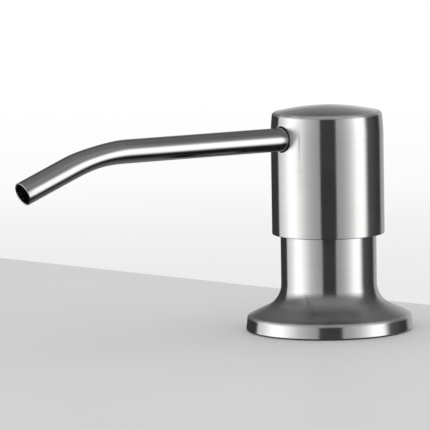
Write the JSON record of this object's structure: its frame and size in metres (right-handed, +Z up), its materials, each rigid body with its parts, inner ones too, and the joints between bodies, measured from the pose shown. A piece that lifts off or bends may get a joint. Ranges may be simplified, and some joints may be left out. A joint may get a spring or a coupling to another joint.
{
  "type": "deck-mounted soap dispenser",
  "caption": "Deck-mounted soap dispenser with a press head, a long bent spout and a flared base, a threaded shank and wing nut through the deck, and a screw-on bottle below it.",
  "frame": {"origin": "on the turning axis, at the level of the deck's top face, which is the underside of the base gasket", "axes": "+Z up along the turning axis, -X towards the tip of the spout; XZ is the plane of symmetry but for the threads and the wings"},
  "size_m": [0.1431, 0.07, 0.279],
  "materials": {
    "brushed_steel": "brushed round the axis",
    "bright_steel": "smooth, finely drawn",
    "spring_steel": "drawn wire",
    "black_rubber": "matt black rubber",
    "shank_plastic": "moulded dark grey plastic",
    "white_plastic": "moulded white plastic",
    "natural_plastic": "natural, slightly milky plastic",
    "bottle_plastic": "blown, milky plastic"
  },
  "bodies": {
    "base": {"base_flange": "brushed_steel", "base_gasket": "black_rubber", "threaded_shank": "shank_plastic"},
    "clamp_stack": {"deck_washer": "black_rubber", "thrust_washer": "bright_steel"},
    "nut": {"mounting_nut": "shank_plastic"},
    "bottle_seal": {"bottle_gasket": "black_rubber"},
    "reservoir": {"bottle": "bottle_plastic"},
    "pump": {"pump_collar": "white_plastic", "collar_o_ring": "black_rubber", "housing_gasket": "black_rubber", "pump_housing": "natural_plastic", "stem_guide": "white_plastic", "spring_seat": "white_plastic", "return_spring": "spring_steel", "dip_tube": "natural_plastic"},
    "inlet_valve": {"inlet_ball": "bright_steel"},
    "plunger": {"piston": "natural_plastic", "stem": "natural_plastic"},
    "outlet_valve": {"outlet_ball": "bright_steel"},
    "head": {"head_cap": "brushed_steel", "actuator_core": "white_plastic", "spout_o_ring": "black_rubber", "spout_tube": "bright_steel"}
  },
  "joints": [
    {"name": "clamp_slide", "type": "slide", "parent": "base", "child": "clamp_stack", "axis": [0, 0, 1], "range_m": [-0.018, 0.009]},
    {"name": "nut_turn", "type": "hinge", "parent": "clamp_stack", "child": "nut", "pos_m": [0, 0, -0.0143], "axis": [0, 0, 1], "range_deg": [-1620, 810]},
    {"name": "bottle_slide", "type": "slide", "parent": "base", "child": "bottle_seal", "axis": [0, 0, 1], "range_m": [-0.0175, 0]},
    {"name": "bottle_turn", "type": "hinge", "parent": "bottle_seal", "child": "reservoir", "pos_m": [0, 0, -0.0623], "axis": [0, 0, 1], "range_deg": [-1575, 0]},
    {"name": "pump_lift", "type": "slide", "parent": "base", "child": "pump", "axis": [0, 0, 1], "range_m": [0, 0.25]},
    {"name": "inlet_ball_lift", "type": "slide", "parent": "pump", "child": "inlet_valve", "axis": [0, 0, 1], "range_m": [0, 0.0016]},
    {"name": "head_press", "type": "slide", "parent": "pump", "child": "plunger", "axis": [0, 0, -1], "range_m": [0, 0.014], "stiffness_N_per_m": 400, "springref_m": -0.0075, "deforming": ["return_spring"]},
    {"name": "outlet_ball_lift", "type": "slide", "parent": "plunger", "child": "outlet_valve", "axis": [0, 0, 1], "range_m": [0, 0.0012]},
    {"name": "head_swivel", "type": "hinge", "parent": "plunger", "child": "head", "pos_m": [0, 0, 0.02883], "axis": [0, 0, 1], "continuous": true}
  ],
  "couplings": [
    {"joint": "clamp_slide", "follows": "nut_turn", "m_per_rad": 0.00063662},
    {"joint": "bottle_slide", "follows": "bottle_turn", "m_per_rad": 0.00063662}
  ]
}
